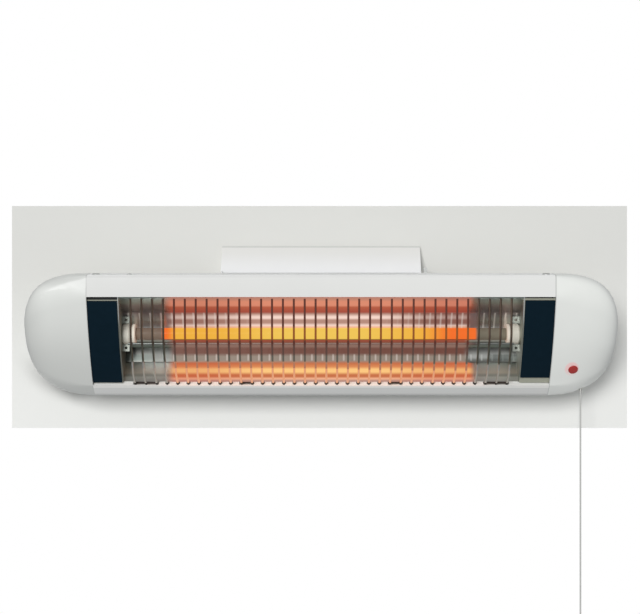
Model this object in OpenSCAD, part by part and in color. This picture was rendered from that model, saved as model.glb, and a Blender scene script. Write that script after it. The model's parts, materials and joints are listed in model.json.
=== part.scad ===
// Wall-mounted electric bar heater: one quartz tube in a folded aluminium reflector behind a wire guard,
// between two moulded end caps, hung on a tilting wall bracket and switched by a pull cord.
//
// X runs along the heater, Y runs into the wall and Z points up. The origin is the middle of the back
// face of the wall bracket, on the wall. Outlines are drawn in the Y-Z plane and run along X.

/* [Body] */
// Length of the casing between the two end cap seams
body_len = 442; // [420:2:520]
// Height of the casing
body_h = 119; // [112:1:130]
// Depth of the casing, from its front panel to its rear flange
body_depth = 68; // [66:1:76]
// Space between the casing and the wall
wall_gap = 32; // [30:1:40]
// Height of the casing's crest above the middle of the bracket
crest_z = 6.5; // [4:0.5:7]
// Height of the upright front panel, with its crest
panel_h = 23.1; // [20:0.1:26]
// Height of the bottom rail's sloping front
rail_h = 10.2; // [8:0.1:13]
// Thickness of the painted casing sheet
sheet_t = 1.2; // [0.8:0.1:1.5]

/* [End caps] */
// Length of an end cap
cap_len = 64.4; // [58:0.2:80]
// Wall of an end cap
cap_wall = 2.2; // [1.8:0.1:3]
// Squareness of the cap's upper outline, 2 is an ellipse
cap_power_up = 3; // [2:0.1:4]
// Squareness of the cap's lower outline
cap_power_low = 2.2; // [2:0.1:4]
// Squareness of the cap seen from above
cap_power_plan = 5; // [2.5:0.1:6]
// Drop of the cap's tip below the middle of the casing
cap_tip_drop = 11; // [6:0.5:16]

/* [Heating element] */
// Outer diameter of the quartz tube
tube_d = 11.6; // [10:0.1:13]
// Wall of the quartz tube
tube_wall = 1; // [0.8:0.1:1.5]
// Distance of the tube's axis behind the front panel
tube_back = 38; // [36:0.5:40]
// Drop of the tube's axis below the casing's crest
tube_drop = 58.5; // [56:0.5:60]
// Length of the tube at each end that stays dark
cold_end = 37.8; // [32:0.2:50]
// Outer diameter of the wound coil
coil_d = 7.6; // [5:0.1:8]
// Diameter of the coil's wire
coil_wire_d = 1.4; // [1:0.1:1.6]
// Spacing of the coil's turns
coil_pitch = 4.6; // [4.4:0.1:6]
// Diameter of a ceramic holder
holder_d = 19.6; // [17:0.1:21]
// Length of the thick part of a ceramic holder
holder_len = 7.8; // [6:0.1:9]
// Thickness of a ceramic holder's inner collar
collar_t = 3.4; // [2:0.1:4]
// Width of the groove between the two
groove_w = 1.6; // [1.4:0.1:2.5]

/* [Reflector] */
// Width of the dark panel at each end of the reflector
panel_w = 28.2; // [25:0.2:34]
// Thickness of the reflector sheet
reflector_t = 0.8; // [0.5:0.1:1]

/* [Guard] */
// Spacing of the guard wires
wire_pitch = 10.29; // [9.5:0.01:12]
// Diameter of a guard wire
wire_d = 2; // [1.5:0.1:2.4]
// Diameter of the cross rod behind the wires
rod_d = 2.4; // [2:0.1:3]
// Distance of the upright run behind the front panel
wire_back = 8; // [7:0.1:9]

/* [Bracket and tilt] */
// Width of the wall bracket
bracket_w = 199; // [180:1:220]
// Height of the wall bracket
bracket_h = 70; // [64:1:80]
// Thickness of the bracket sheet
bracket_t = 1.5; // [1.2:0.1:2]
// Distance between the two wall screws
screw_spacing = 150; // [120:5:160]
// Diameter of the wall screw holes
screw_hole_d = 5.5; // [4.5:0.1:6]
// Distance of the tilt axis from the wall
pivot_out = 20; // [18:0.5:21]
// Height of the tilt axis above the middle of the bracket
pivot_up = 3; // [2:0.5:4]
// Diameter of the tilt pins
pivot_d = 5; // [4:0.5:6]
// Diameter of the locking knob
knob_d = 20; // [16:1:21]
// Thickness of the locking knob
knob_t = 3.4; // [3:0.1:6]

/* [Pull switch] */
// Distance of the pull cord past the end cap's seam
cord_past = 33; // [29:1:37]
// Distance of the pull cord in front of the casing's back
cord_fore = 10; // [9:0.5:12]
// Diameter of the pull cord
cord_d = 1.6; // [1.4:0.1:2]
// Length of the pull cord
cord_len = 280; // [150:10:500]
// Diameter of the switch plunger
plunger_d = 4; // [3.6:0.1:4.4]
// Travel of the switch plunger
pull_travel = 8; // [5:0.5:8]
// Length of the cord knob
cord_knob_len = 28; // [20:1:34]
// Diameter of the cord knob
cord_knob_d = 9; // [7:0.5:12]

/* [Indicator] */
// Diameter of the red indicator lens
lens_d = 9.4; // [7:0.1:11]
// Distance of the lens past the end cap's seam
lens_past = 21.6; // [18:0.2:25]
// Height of the lens above the casing's bottom
lens_up = 26.2; // [24:0.2:30]

/* [Clearances] */
// Radial gap of a pin that turns or slides in its hole
run_gap = 0.05; // [0.02:0.01:0.1]
// Gap beside a piece that moves past another
side_gap = 0.3; // [0.2:0.05:0.6]

/* [Hidden] */

white = [0.92, 0.92, 0.9];
cream = [0.9, 0.87, 0.78];
steel = [0.72, 0.73, 0.72];
bright = [0.82, 0.82, 0.8];
black = [0.05, 0.1, 0.12];
brass = [0.78, 0.62, 0.3];

// ---- Driving places, in the Y-Z plane ----
top_z = crest_z;
bottom_z = crest_z - body_h;
back_y = -wall_gap;
front_y = back_y - body_depth;
panel_z = top_z - panel_h;
seam_x = body_len / 2;
mid_z = (top_z + bottom_z) / 2;
rear_y = back_y - sheet_t;                  // outer face of the rear panel, inside the flanges

crest_set = 28;                             // from the front to where the top stops rising
crest_y = front_y + crest_set;
brow_drop = 2.5;                            // fall of the top to its sharp front corner
brow_z = top_z - brow_drop;
rail_fore = 25;                             // the rail's upper edge in front of the casing's back
rail_edge = [back_y - rail_fore, bottom_z + rail_h];
lean_upper = 18;                            // lean of the front just under the panel
bend_share = 0.5146;                        // share of the front's drop at which its lean grows
bend_drop = (panel_z - rail_edge.y) * bend_share;
bend = [front_y + bend_drop * tan(lean_upper), panel_z - bend_drop];
front_lean = atan((rail_edge.x - bend.x) / (bend.y - rail_edge.y));
rail_slope = 36.7;                          // fall of the rail's sloping front
frame_t = 1.2;                              // sheet of the end frames
end_plate_t = 0.8;                          // sheet of the reflector's ends
end_space_x = seam_x - panel_w - 2 * side_gap;  // outer face of a reflector end
reflector_x = end_space_x - end_plate_t;
wire_margin = 8;                            // least room between the end wires and the reflector's ends
wire_count = floor(2 * (reflector_x - wire_margin) / wire_pitch) + 1;
rail_foot = [rail_edge.x + rail_h / tan(rail_slope), bottom_z];
tube_at = [front_y + tube_back, top_z - tube_drop];

// Corners of the body's outline, from the rear top over the front to the rear bottom
outline = [[back_y, top_z], [crest_y, top_z], [front_y, brow_z], [front_y, panel_z],
           bend, rail_edge, rail_foot, [back_y, bottom_z]];
// The radius at the bend that takes up a share of the shorter run beside it
bend_run = min(norm(bend - [front_y, panel_z]), norm(rail_edge - bend));
function bend_r(share) = share * bend_run / tan((front_lean - lean_upper) / 2);
seam_radii = [3, 150, 3.5, 20, bend_r(0.8795), 1, 6, 3];
cap_radii = [6, 60, 12.5, 55, bend_r(0.7852), 36, 20, 3.5];

// ---- Helpers for outlines ----
function unit(v) = v / norm(v);
function left_of(v) = [-v.y, v.x];
function reverse(p) = [for (i = [len(p) - 1:-1:0]) p[i]];
function mix(a, b, k) = a + (b - a) * k;

// One corner b, between a and c, turned into an arc of n + 1 points
function corner(a, b, c, r, n) =
    let (u = unit(a - b), v = unit(c - b), half = acos(u * v) / 2,
         centre = b + unit(u + v) * r / sin(half),
         p = b + u * r / tan(half) - centre, q = b + v * r / tan(half) - centre,
         start = atan2(p.y, p.x), sweep = atan2(q.y, q.x) - start,
         turn = sweep > 180 ? sweep - 360 : sweep < -180 ? sweep + 360 : sweep)
    [for (i = [0:n]) centre + r * [cos(start + turn * i / n), sin(start + turn * i / n)]];
function rounded(pts, radii, n) =
    let (k = len(pts))
    [for (i = [0:k - 1]) each corner(pts[(i + k - 1) % k], pts[i], pts[(i + 1) % k], radii[i], n)];

// A corner b moved by d to the left of the way that the path a, b, c runs
function beside(a, b, c, d) =
    let (u = unit(b - a), v = unit(c - b)) b + (left_of(u) + left_of(v)) * d / (1 + u * v);
function side_path(p, d) =
    let (last = len(p) - 1)
    [for (i = [0:last])
        i == 0 ? p[0] + left_of(unit(p[1] - p[0])) * d :
        i == last ? p[last] + left_of(unit(p[last] - p[last - 1])) * d :
        beside(p[i - 1], p[i], p[i + 1], d)];
function inset(p, d) =
    let (k = len(p)) [for (i = [0:k - 1]) beside(p[(i + k - 1) % k], p[i], p[(i + 1) % k], d)];
// The closed outline of a folded sheet of thickness t, to the left of its outer path
function sheet(p, t) = concat(p, reverse(side_path(p, t)));

// ---- Helpers for solids ----
module run_x(from, to) translate([from, 0, 0]) rotate([90, 0, 90]) linear_extrude(to - from) children();
module both() { children(); mirror([1, 0, 0]) children(); }
module on_left() mirror([1, 0, 0]) children();
module rod_x(from, to, at, d) translate([from, at.x, at.y]) rotate([0, 90, 0]) cylinder(h = to - from, d = d, $fn = 48);
module rod_y(from, to, x, z, d) translate([x, from, z]) rotate([-90, 0, 0]) cylinder(h = to - from, d = d, $fn = 48);

// Rings of equal length joined into one closed solid
module loft(rings) {
    n = len(rings[0]);
    m = len(rings);
    sides = [for (j = [0:m - 2]) for (i = [0:n - 1])
        let (a = j * n + i, b = j * n + (i + 1) % n) each [[a, b + n, b], [a, a + n, b + n]]];
    ends = [[for (i = [0:n - 1]) i], [for (i = [n - 1:-1:0]) (m - 1) * n + i]];
    polyhedron([for (r = rings) each r], concat(sides, ends), convexity = 8);
}
function heading(path, i) = unit(path[min(i + 1, len(path) - 1)] - path[max(i - 1, 0)]);
// A ring of n points round p, square to the way t, its first point on the side given
function ring(p, t, side, d, n) =
    let (u = unit(side - t * (side * t)), v = cross(t, u))
    [for (k = [0:n - 1]) p + (u * cos(360 * k / n) + v * sin(360 * k / n)) * d / 2];
// A round tube along a path; across is any direction that the path never runs in
module tube_along(path, d, n, across)
    loft([for (i = [0:len(path) - 1]) let (t = heading(path, i)) ring(path[i], t, cross(across, t), d, n)]);
// The least gap between neighbouring turns of a wound wire, measured from point to point
function least_gap(path, wire, turn) =
    min([for (i = [0:len(path) - 1]) for (j = [i + turn / 2:min(i + turn * 2, len(path) - 1)])
        norm(path[j] - path[i])]) - wire;
// Points along straight runs between corners, each corner eased by n steps of an arc of radius r
function eased_run(p, r, n) =
    [for (i = [0:len(p) - 1]) each i == 0 || i == len(p) - 1 ? [p[i]] :
        let (u = unit(p[i - 1] - p[i]), v = unit(p[i + 1] - p[i]), a = acos(u * v) / 2,
             cut = r / tan(a), centre = p[i] + unit(u + v) * r / sin(a),
             s = p[i] + u * cut - centre, e = p[i] + v * cut - centre)
        [for (k = [0:n]) centre + unit(mix(s, e, k / n)) * r]];

// ---- The front curve, from the panel's lower edge to the rail ----
function front_curve(d, n) =
    side_path(concat(corner(outline[2], outline[3], outline[4], seam_radii[3], 2),
                     corner(outline[3], outline[4], outline[5], seam_radii[4], n), [rail_edge]), d);
function within(p, low, high) = [for (q = p) if (q.y > low && q.y < high) q];
function at_height(p, z) =
    let (hit = [for (i = [0:len(p) - 2]) if (p[i].y >= z && p[i + 1].y < z) i])
    mix(p[hit[0]], p[hit[0] + 1], (p[hit[0]].y - z) / (p[hit[0]].y - p[hit[0] + 1].y));
// The front curve set back by d, cut at two heights
function front_cut(d, n, high, low) =
    let (c = front_curve(d, n)) concat([at_height(c, high)], within(c, low, high), [at_height(c, low)]);

// ---- Casing ----
slot_len = 69;                              // long slot in the top, on the right
slot_in = 50;
slot_w = 1.6;
slot_y = front_y + 17;
top_screw_set = 11;                         // the top screws behind the front
top_screw_in = 7.7;                         // and in from the seam
top_screw_y = front_y + top_screw_set;
top_screw_x = seam_x - top_screw_in;
tab_screw_in = 39.4;
tab_screw_x = seam_x - tab_screw_in;
flange_h = 12;                              // rear flanges of the casing and the rail
flange_screw_in = 7;                        // their screws, from the top and from the bottom
flange_screw_z = [top_z - flange_screw_in, bottom_z + flange_screw_in];
hem = 4;                                    // fold under the front panel
top_slope = atan((top_z - brow_z) / (crest_y - front_y));
function top_surface(y) = brow_z + (y - front_y) * tan(top_slope);
pan_d = 7.4;                                // casing screw heads
pan_h = 1;
shank_d = 3;
shank_gap = 0.2;

corner_steps = 6;                           // facets of a corner of the seam outline
outline_rounded = rounded(outline, seam_radii, corner_steps);
function corners(first, last) =
    [for (i = [first * (corner_steps + 1):(last + 1) * (corner_steps + 1) - 1]) outline_rounded[i]];
casing_path = concat([[back_y, top_z - flange_h]], corners(0, 2), [[front_y, panel_z], [front_y + hem, panel_z]]);

module at_top_screw(x) translate([x, top_screw_y, top_surface(top_screw_y)]) rotate([top_slope, 0, 0]) children();
module top_casing() color(white) difference() {
    run_x(-seam_x, seam_x) polygon(sheet(casing_path, sheet_t));
    translate([seam_x - slot_in - slot_len, slot_y - slot_w / 2, top_z - 10]) cube([slot_len, slot_w, 20]);
    both() at_top_screw(top_screw_x) cylinder(h = 20, d = shank_d + 2 * shank_gap, center = true, $fn = 32);
    at_top_screw(-tab_screw_x) cylinder(h = 20, d = shank_d, center = true, $fn = 32);
    for (x = flange_screws) rod_y(back_y - 5, back_y + 5, x, flange_screw_z[0], shank_d + 2 * shank_gap);
}

end_screw_in = 14;
flange_screws = [end_screw_in - seam_x, -seam_x / 2, seam_x / 2, seam_x - end_screw_in];
rear_top = top_z - seam_radii[0] - side_gap;
rear_low = bottom_z + seam_radii[7] + side_gap;
rear_half = seam_x - sheet_t - 2 * side_gap;
grommet_in = 45;                            // cable entry
grommet_up = 8;
grommet_x = seam_x - grommet_in;
grommet_z = mid_z + grommet_up;
grommet_hole_d = 13;
cable_d = 7;
louvre_len = 34;
louvre_w = 3;
louvre_pitch = 46;
louvre_margin = 20;
louvre_up = 22;
louvre_rows = [bottom_z + louvre_up, bottom_z + louvre_up + 3 * louvre_w];
louvre_count = floor(2 * (rear_half - louvre_margin) / louvre_pitch);
ear_plate_drop = 13.5;
ear_plate_h = 29;
ear_plate_top = top_z - ear_plate_drop;
ear_plate_low = ear_plate_top - ear_plate_h;
ear_screw_in = 22;
ear_screw_x = bracket_w / 2 - ear_screw_in;
ear_screw_z = (ear_plate_low + ear_plate_top) / 2;

module rear_panel() color(white) difference() {
    translate([-rear_half, rear_y - sheet_t, rear_low]) cube([2 * rear_half, sheet_t, rear_top - rear_low]);
    for (x = flange_screws) for (z = flange_screw_z)
        rod_y(rear_y - 5, rear_y + 5, x, z, shank_d + 2 * shank_gap);
    for (x = [-ear_screw_x, 0, ear_screw_x]) rod_y(rear_y - 5, rear_y + 5, x, ear_screw_z, shank_d + 2 * shank_gap);
    rod_y(rear_y - 5, rear_y + 5, grommet_x, grommet_z, grommet_hole_d);
    for (z = louvre_rows) for (i = [0:louvre_count - 1])
        translate([(i - (louvre_count - 1) / 2) * louvre_pitch - louvre_len / 2, rear_y - 5, z])
            cube([louvre_len, 10, louvre_w]);
}

lip_w = 3.6;                                // rise and run of the rail's upper lip
lip_top = rail_edge + [lip_w, lip_w];
lip_mid = rail_edge + [lip_w, lip_w] / 2;
lip_return = [5.9, -4.3];                   // fold behind the lip
rail_path = concat([lip_top + lip_return, lip_top, rail_edge],
                   corners(6, 7), [[back_y, bottom_z + flange_h]]);
lip_hole_gap = 0.4;                         // round a wire in the rail's lip
lip_slot_w = 2.6;
lip_slot_deep = 6;
function wire_x(i) = (i - (wire_count - 1) / 2) * wire_pitch;
slot_wires = [[0, 2], [10, 11], [wire_count - 12, wire_count - 11], [wire_count - 3, wire_count - 1]];
function in_slot(i) = len([for (s = slot_wires) if (i >= s[0] && i <= s[1]) i]) > 0;

module bottom_rail() color(white) difference() {
    run_x(-seam_x, seam_x) polygon(sheet(rail_path, sheet_t));
    for (i = [0:wire_count - 1]) if (!in_slot(i))
        translate([wire_x(i), lip_mid.x, lip_mid.y]) rotate([90 - wire_dive, 0, 0])
            cylinder(h = 8, d = wire_d + 2 * lip_hole_gap, center = true, $fn = 24);
    for (s = slot_wires) let (from = wire_x(s[0]) - wire_d, to = wire_x(s[1]) + wire_d)
        translate([from, lip_mid.x, lip_mid.y]) rotate([45, 0, 0])
            translate([0, -lip_slot_w / 2, -lip_slot_deep / 2]) cube([to - from, lip_slot_w, lip_slot_deep]);
    for (x = flange_screws) rod_y(back_y - 5, back_y + 5, x, flange_screw_z[1], shank_d + 2 * shank_gap);
}

// ---- End frames: a bulkhead and the plate behind the dark panel ----
frame_x = seam_x - frame_t;
lip_gap = 0.6;                              // round the fold of the rail's lip
lip_notch = [lip_top + [0, lip_gap], lip_top + lip_return + [lip_gap, 0],
             [lip_top.x + lip_return.x + lip_gap, bottom_z]];
hem_gap = 0.2;                              // round the fold under the front panel
hem_notch = [[front_y, panel_z + sheet_t + hem_gap], [front_y + hem + hem_gap, panel_z + sheet_t + hem_gap],
             [front_y + hem + hem_gap, panel_z - hem_gap]];
tab_len = 15.6;                             // tab under the casing's top
tab_side = 10;
backing_set = 2.8;                          // the backing plate's setback behind the front curve
backing_high = panel_z - 1.2;
backing_low = rail_edge.y + 3;
cap_screw_at = [[back_y - 12, top_z - 22], [back_y - 21, bottom_z + 18]];
wire_pass_at = [back_y - 26, top_z - 24];   // hole for the wiring
wire_pass_d = 12;
front_steps = 9;                            // facets of the front curve's long arc
cap_screw_d = 2.9;

module end_frame() color(steel) difference() {
    union() {
        run_x(frame_x, seam_x) intersection() {
            polygon(inset(outline_rounded, sheet_t + 0.05));
            translate([back_y - 1.5 - sheet_t - body_depth, bottom_z]) square([body_depth + 0.1, body_h]);
            polygon(concat(front_cut(backing_set, front_steps, backing_high, lip_top.y + lip_gap), lip_notch,
                           [[back_y, bottom_z], [back_y, top_z], [front_y, top_z]], hem_notch));
        }
        run_x(end_space_x, seam_x) polygon(sheet(front_cut(backing_set, front_steps, backing_high, backing_low), frame_t));
        at_top_screw(top_screw_x) translate([top_screw_in - tab_len - 0.1, -tab_side / 2, -sheet_t - frame_t - 0.02])
            cube([tab_len, tab_side, frame_t]);
    }
    for (p = cap_screw_at) rod_x(frame_x - 5, seam_x + 5, p, cap_screw_d + 2 * shank_gap);
    rod_x(frame_x - 5, seam_x + 5, wire_pass_at, wire_pass_d);
    at_top_screw(top_screw_x) cylinder(h = 20, d = shank_d, center = true, $fn = 32);
}
module right_end_frame() end_frame();
module left_end_frame() on_left() end_frame();

// ---- End caps ----
cap_rings = 11;
cap_corner_steps = 4;
tip_z = mid_z - cap_tip_drop;
function squareness(t, power) = pow(1 - pow(t, power), 1 / power);
// One ring of the cap: t runs from 0 at the seam to nearly 1 at the tip, wall is its depth under the skin
function cap_ring(t, wall) =
    let (up = squareness(t, cap_power_up), low = squareness(t, cap_power_low), plan = squareness(t, cap_power_plan),
         ease = min(1, t * 2.2), radii = [for (i = [0:7]) max(0.6, mix(seam_radii[i], cap_radii[i], ease) - wall)],
         path = rounded(wall > 0 ? inset(outline, wall) : outline, radii, cap_corner_steps))
    [for (p = path) [seam_x + t * (cap_len - wall), back_y + (p.x - back_y) * plan,
                     tip_z + (p.y - tip_z) * (p.y > tip_z ? up : low)]];
function cap_steps() = [for (i = [0:cap_rings]) pow(sin(89.2 * i / cap_rings), 0.72)];
module cap_body(wall) loft([for (t = cap_steps()) cap_ring(t, wall)]);
post_d = 6;

module cap_shell() difference() {
    union() {
        difference() {
            cap_body(0);
            translate([-0.5, 0, 0]) cap_body(cap_wall);
        }
        intersection() {
            cap_body(0.3);
            for (p = cap_screw_at) rod_x(seam_x, seam_x + cap_len, p, post_d);
        }
    }
    for (p = cap_screw_at) rod_x(seam_x - 1, seam_x + 14, p, cap_screw_d);
}

module left_end_cap() color(white) on_left() cap_shell();
module right_end_cap() color(white) difference() {
    cap_shell();
    at_lens() cylinder(h = 12, d = lens_d + 0.1, center = true, $fn = 48);
    translate([cord_x, cord_y, bottom_z - 1]) cylinder(h = bush_top - bottom_z + 1, d = bush_d + 0.1, $fn = 48);
}

// ---- Indicator ----
lens_x = seam_x + lens_past;
lens_z = bottom_z + lens_up;
lens_t = lens_past / cap_len;
function seam_front(z) = rail_edge.x - (z - rail_edge.y) * tan(front_lean);
// The depth of the cap's front at t, at the height of the lens
function lens_front(t) = back_y + squareness(t, cap_power_plan) *
    (seam_front(tip_z + (lens_z - tip_z) / squareness(t, cap_power_low)) + 0.3 - back_y);
lens_y = lens_front(lens_t);
lens_turn = atan((lens_front(lens_t + 0.02) - lens_front(lens_t - 0.02)) / (0.04 * cap_len));
module at_lens() translate([lens_x, lens_y, lens_z]) rotate([90 + front_lean, 0, 0]) rotate([0, lens_turn, 0]) children();
lens_rise = 0.9;
lens_depth = 5;
module indicator_lens() color([0.65, 0.1, 0.08]) at_lens() rotate_extrude($fn = 48)
    polygon(concat([[0, -lens_depth], [lens_d / 2 + 0.7, -lens_depth], [lens_d / 2 + 0.7, -lens_depth + 1],
                    [lens_d / 2, -lens_depth + 1]],
                   [for (a = [0:15:90]) [lens_d / 2 * cos(a), 0.2 + lens_rise * sin(a)]]));
lamp_len = 11;
lamp_d = 6;
lamp_pin_len = 4;
module indicator_lamp() color(steel) at_lens() translate([0, 0, -lens_depth - lamp_len]) {
    cylinder(h = lamp_len, d = lamp_d, $fn = 32);
    for (x = [-1.5, 1.5]) translate([x, 0, -lamp_pin_len]) cylinder(h = lamp_pin_len, d = 0.8, $fn = 16);
}

// ---- Reflector ----
// The reflector's inner face, from the hem over the tube's back to the rail's lip
reflector_path = [
    [front_y + 2.4, panel_z - 0.8],
    tube_at + [-3.5, 20.8],
    tube_at + [4.5, 12.5],
    [back_y - 7, tube_at.y - 14],
    [back_y - 9, tube_at.y - 27.8],
    lip_top + [-0.66, 0.5],
];
module reflector() color(bright) difference() {
    run_x(-reflector_x, reflector_x) polygon(sheet(reflector_path, reflector_t));
    for (i = [0:wire_count - 1]) translate([wire_x(i), wire_top.x, wire_top.y]) rotate([180 + wire_lean, 0, 0])
        cylinder(h = 10, d = wire_d + 2 * top_hole_gap, $fn = 24);
}

top_hole_gap = 0.1;                         // round a wire in the reflector's top facet
tab_y = tube_at.x - 1.5;
tab_w = 6.6;
tab_t = 1;
tab_hole_d = 2.6;
tab_rise = 13.5;                            // of a folded tab above and below the tube's axis
module reflector_end() color(bright) difference() {
    union() {
        run_x(reflector_x, end_space_x) polygon(concat(side_path(reflector_path, reflector_t),
            reverse(front_cut(backing_set, front_steps, panel_z - 2, rail_edge.y + 5.1))));
        for (z = [tube_at.y + tab_rise, tube_at.y - tab_rise])
            translate([reflector_x - tab_w, tab_y, z - tab_w / 2]) cube([tab_w + 0.1, tab_t, tab_w]);
    }
    for (z = [tube_at.y + tab_rise, tube_at.y - tab_rise])
        rod_y(tab_y - 1, tab_y + tab_t + 1, reflector_x - tab_w / 2, z, tab_hole_d);
    rod_x(reflector_x - 1, end_space_x + 1, tube_at, spigot_d + 2 * run_gap);
}
module right_reflector_end() reflector_end();
module left_reflector_end() on_left() reflector_end();

panel_t = 1.5;
module dark_panel(high, low) color(black) run_x(end_space_x + side_gap, seam_x - side_gap)
    polygon(sheet(front_cut(backing_set - panel_t, front_steps, high, low), panel_t));
left_inset = [4, 3.2];                      // of the dark panel's upper and lower edge
right_inset = [3.4, 8];
module left_dark_panel() on_left() dark_panel(panel_z - left_inset[0], rail_edge.y + left_inset[1]);
module right_dark_panel() dark_panel(panel_z - right_inset[0], rail_edge.y + right_inset[1]);

// ---- Guard ----
wire_turn = [-16, 12.3];                    // from the rail's edge to where the lower run turns in
wire_run = rail_edge + wire_turn;
wire_bend_share = 0.448;                    // share of the front's drop at which a wire bends
wire_bend = [front_y + wire_back, mix(panel_z, rail_edge.y, wire_bend_share)];
wire_above = 1;                             // reach of a wire through the hem
wire_past = 3;                              // and past the lip
wire_dive = atan((wire_run.y - lip_mid.y) / (lip_mid.x - wire_run.x));
wire_in = [cos(wire_dive), -sin(wire_dive)];
wire_behind = 0.25;                         // between the hem and a wire's top
wire_top = [front_y + hem + wire_behind + wire_d / 2, panel_z + wire_above];
wire_lean = atan((wire_bend.x - wire_top.x) / (wire_top.y - wire_bend.y));
wire_end = lip_mid + wire_in * wire_past;
wire_bend_r = 8;
wire_path = [for (p = [wire_top, wire_bend, wire_run, wire_end]) [0, p.x, p.y]];
module guard_wire() tube_along(eased_run(wire_path, wire_bend_r, 2), wire_d, 8, [1, 0, 0]);
module wire_guard() color(steel) for (i = [0:wire_count - 1]) translate([wire_x(i), 0, 0]) guard_wire();

rod_on = mix(wire_bend, wire_run, 0.2);
rod_at = rod_on + left_of(unit(wire_run - wire_bend)) * (wire_d / 2 + rod_d / 2 + 0.02);
module cross_rod() color(steel) rod_x(wire_x(0) - 3, wire_x(wire_count - 1) + 3, rod_at, rod_d);

// ---- Heating element ----
holder_out = reflector_x;
holder_in = holder_out - holder_len - groove_w - collar_t;
tube_stop = 1.6;                            // floor of a holder's socket
tube_half = holder_out - tube_stop;
coil_len = 2 * (tube_half - cold_end);
coil_turns = round(coil_len / coil_pitch);
groove_d = 14.4;
spigot_d = 8;                               // the holder's spigot through the reflector end
clip_t = 0.8;
clip_groove_d = 6.8;
spigot_end = end_space_x + clip_t + 1;
lead_out = end_space_x + 6;                 // outer end of the coil's straight leads
module quartz_tube() color([0.75, 0.7, 0.66]) difference() {
    rod_x(-tube_half, tube_half, tube_at, tube_d);
    rod_x(-tube_half - 1, tube_half + 1, tube_at, tube_d - 2 * tube_wall);
}
// The coil's wire: straight leads on the axis, and turns that open out from it at both ends
turn_steps = 8;
coil_steps = turn_steps * coil_turns;
coil_r = (coil_d - coil_wire_d) / 2;
function coil_side(k) = let (a = 360 * k / turn_steps) [0, cos(a), sin(a)];
coil_lead = [for (x = [lead_out, coil_len / 2 + 3]) [x, tube_at.x, tube_at.y]];
coil_path = concat([for (p = coil_lead) [-p.x, p.y, p.z]],
    [for (k = [0:coil_steps]) [coil_len * (k / coil_steps - 0.5), tube_at.x, tube_at.y]
        + coil_side(k) * coil_r * min(1, k / turn_steps, (coil_steps - k) / turn_steps)],
    reverse(coil_lead));
module heating_coil() color([0.95, 0.55, 0.15]) {
    echo(least_gap_of_the_heating_coil = least_gap(coil_path, coil_wire_d, turn_steps));
    loft([for (i = [0:len(coil_path) - 1]) let (k = max(0, min(coil_steps, i - 2)))
        ring(coil_path[i], heading(coil_path, i), coil_side(k), coil_wire_d, 6)]);
}
module tube_holder() color(cream) difference() {
    translate([0, tube_at.x, tube_at.y]) rotate([0, 90, 0]) rotate_extrude($fn = 64) polygon([
        [0, holder_in], [holder_d / 2 - 0.8, holder_in], [holder_d / 2, holder_in + 0.8],
        [holder_d / 2, holder_in + collar_t - 0.8], [holder_d / 2 - 0.8, holder_in + collar_t],
        [groove_d / 2, holder_in + collar_t], [groove_d / 2, holder_out - holder_len],
        [holder_d / 2 - 1.5, holder_out - holder_len], [holder_d / 2, holder_out - holder_len + 1.5],
        [holder_d / 2, holder_out - 1.5], [holder_d / 2 - 1.5, holder_out], [spigot_d / 2, holder_out],
        [spigot_d / 2, end_space_x], [clip_groove_d / 2, end_space_x], [clip_groove_d / 2, end_space_x + clip_t],
        [spigot_d / 2, end_space_x + clip_t], [spigot_d / 2, spigot_end], [0, spigot_end]]);
    rod_x(holder_in - 1, tube_half, tube_at, tube_d + 2 * run_gap);
    rod_x(tube_half - 1, spigot_end + 1, tube_at, coil_wire_d + 2 * run_gap);
}
module right_tube_holder() tube_holder();
module left_tube_holder() on_left() tube_holder();

clip_d = 13;
module holder_clips() color(steel) both() run_x(end_space_x, end_space_x + clip_t) translate(tube_at) difference() {
    circle(d = clip_d, $fn = 64);
    circle(d = clip_groove_d, $fn = 48);
    translate([0, -clip_groove_d / 2 + 0.6]) square([clip_d, clip_groove_d - 1.2]);
}

// ---- Screws ----
module pan_screw(len) {
    difference() {
        union() {
            cylinder(h = pan_h * 0.5, d = pan_d, $fn = 40);
            translate([0, 0, pan_h * 0.5]) cylinder(h = pan_h * 0.5, d1 = pan_d, d2 = pan_d - 1.8, $fn = 40);
        }
        for (a = [0, 90]) rotate([0, 0, a]) translate([-1.8, -0.4, pan_h - 0.5]) cube([3.6, 0.8, 1]);
    }
    translate([0, 0, -len]) cylinder(h = len, d = shank_d, $fn = 32);
}
module casing_screws() color(steel) {
    both() at_top_screw(top_screw_x) pan_screw(5);
    at_top_screw(-tab_screw_x) scale(0.64) pan_screw(5);
}
module rear_screws() color(steel) {
    for (x = flange_screws) for (z = flange_screw_z)
        translate([x, back_y, z]) rotate([-90, 0, 0]) pan_screw(5);
    for (x = [-ear_screw_x, 0, ear_screw_x])
        translate([x, rear_y + bracket_t, ear_screw_z]) rotate([-90, 0, 0]) pan_screw(5);
}
cap_screw_len = 12;
cap_head = [6, 1.8];                        // diameter and height
module cap_screws() color(steel) both() for (p = cap_screw_at)
    translate([frame_x, p.x, p.y]) rotate([0, -90, 0]) {
        cylinder(h = cap_head[1], d = cap_head[0], $fn = 32);
        translate([0, 0, -cap_screw_len]) cylinder(h = cap_screw_len, d = cap_screw_d - 0.04, $fn = 32);
    }

// ---- Wall bracket and tilt ----
half_w = bracket_w / 2;
cheek_in = half_w - bracket_t;
pivot_at = [-pivot_out, pivot_up];
hood_top = bracket_h / 2;
hood_edge = pivot_at + [-1, 5];             // lower front edge of the sloping hood
boss_r = 7;
washer_t = 0.7;
washer_x = half_w;
ear_x = half_w + washer_t + 0.1;
ear_t = 1.5;
ear_out = ear_x + ear_t;
wall_screw_z = 20 - hood_top;
cheek_low = 7 - hood_top;

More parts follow.
